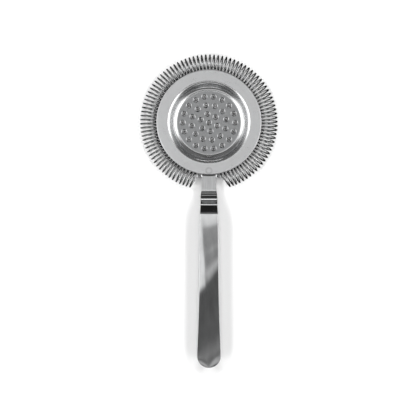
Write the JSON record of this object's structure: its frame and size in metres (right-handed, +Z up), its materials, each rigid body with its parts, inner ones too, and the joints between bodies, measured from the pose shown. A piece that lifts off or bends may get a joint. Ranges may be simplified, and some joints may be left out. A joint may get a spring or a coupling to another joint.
{
  "type": "hawthorne strainer",
  "caption": "Bar strainer: a drawn steel dish with a perforated floor, a sprung coil under its flange and a flat handle with an S-bend.",
  "frame": {"origin": "the middle of the strainer's length and width, on the surface that it lies on", "axes": "+Y from the handle towards the dish, +Z up out of the dish, +X to the right seen from above with the handle near"},
  "size_m": [0.0921, 0.2083, 0.0243],
  "materials": {
    "dish_steel": "satin stainless steel with a polished well wall",
    "handle_steel": "polished stainless steel with soft reflections",
    "retainer_steel": "satin stainless steel",
    "spring_wire": "bright drawn stainless wire"
  },
  "bodies": {
    "root": {"dish": "dish_steel", "handle": "handle_steel", "spring_retainer": "retainer_steel", "spring_end_left": "spring_wire", "spring_end_right": "spring_wire"},
    "spring": {"spring_coil_01": "spring_wire", "spring_coil_02": "spring_wire", "spring_coil_03": "spring_wire", "spring_coil_04": "spring_wire", "spring_coil_05": "spring_wire", "spring_coil_06": "spring_wire", "spring_coil_07": "spring_wire", "spring_coil_08": "spring_wire", "spring_coil_09": "spring_wire", "spring_coil_10": "spring_wire", "spring_coil_11": "spring_wire", "spring_coil_12": "spring_wire", "spring_coil_13": "spring_wire", "spring_coil_14": "spring_wire", "spring_coil_15": "spring_wire"}
  },
  "joints": [
    {"name": "spring_press", "type": "slide", "parent": "root", "child": "spring", "axis": [0, -1, 0], "range_m": [0, 0.005], "stiffness_N_per_m": 600, "deforming": ["spring_end_left", "spring_end_right"]}
  ]
}
